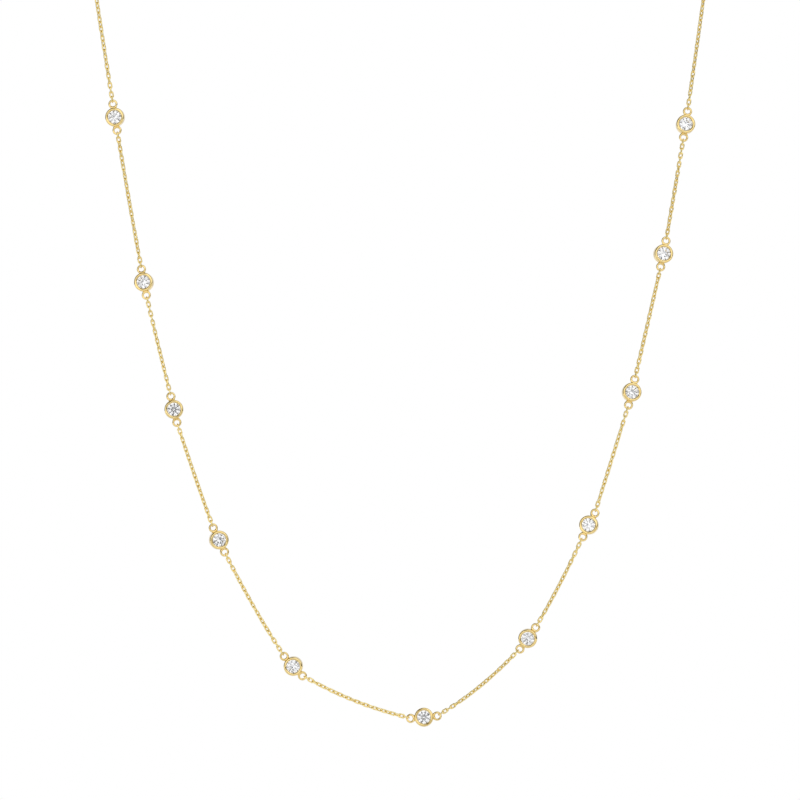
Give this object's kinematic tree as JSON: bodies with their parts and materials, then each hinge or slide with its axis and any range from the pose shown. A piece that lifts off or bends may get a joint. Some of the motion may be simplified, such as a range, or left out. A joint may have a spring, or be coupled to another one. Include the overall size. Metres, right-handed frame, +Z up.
{
  "type": "necklace",
  "caption": "Fine yellow metal cable chain necklace with round clear stones in bezels spaced along it, a closed loop held up at the nape.",
  "frame": {"origin": "middle of the closed clasp, where the necklace sits on the nape", "axes": "+X to the right seen from the front, +Y to the back, +Z up; the front hangs in the plane y = -0.041 and its stones look along -Y"},
  "size_m": [0.1103, 0.0435, 0.1554],
  "materials": {
    "chain_gold": "polished",
    "bezel_gold": "polished",
    "clasp_gold": "polished",
    "clear_stone": "polished, faceted"
  },
  "bodies": {
    "root": {"chain_01": "chain_gold", "chain_02": "chain_gold", "chain_03": "chain_gold", "chain_04": "chain_gold", "chain_05": "chain_gold", "chain_06": "chain_gold", "chain_07": "chain_gold", "chain_08": "chain_gold", "chain_09": "chain_gold", "chain_10": "chain_gold", "chain_11": "chain_gold", "chain_12": "chain_gold", "bezel_01": "bezel_gold", "bezel_02": "bezel_gold", "bezel_03": "bezel_gold", "bezel_04": "bezel_gold", "bezel_05": "bezel_gold", "bezel_06": "bezel_gold", "bezel_07": "bezel_gold", "bezel_08": "bezel_gold", "bezel_09": "bezel_gold", "bezel_10": "bezel_gold", "bezel_11": "bezel_gold", "stone_01": "clear_stone", "stone_02": "clear_stone", "stone_03": "clear_stone", "stone_04": "clear_stone", "stone_05": "clear_stone", "stone_06": "clear_stone", "stone_07": "clear_stone", "stone_08": "clear_stone", "stone_09": "clear_stone", "stone_10": "clear_stone", "stone_11": "clear_stone", "clasp": "clasp_gold", "jump_ring": "clasp_gold"}
  },
  "joints": []
}
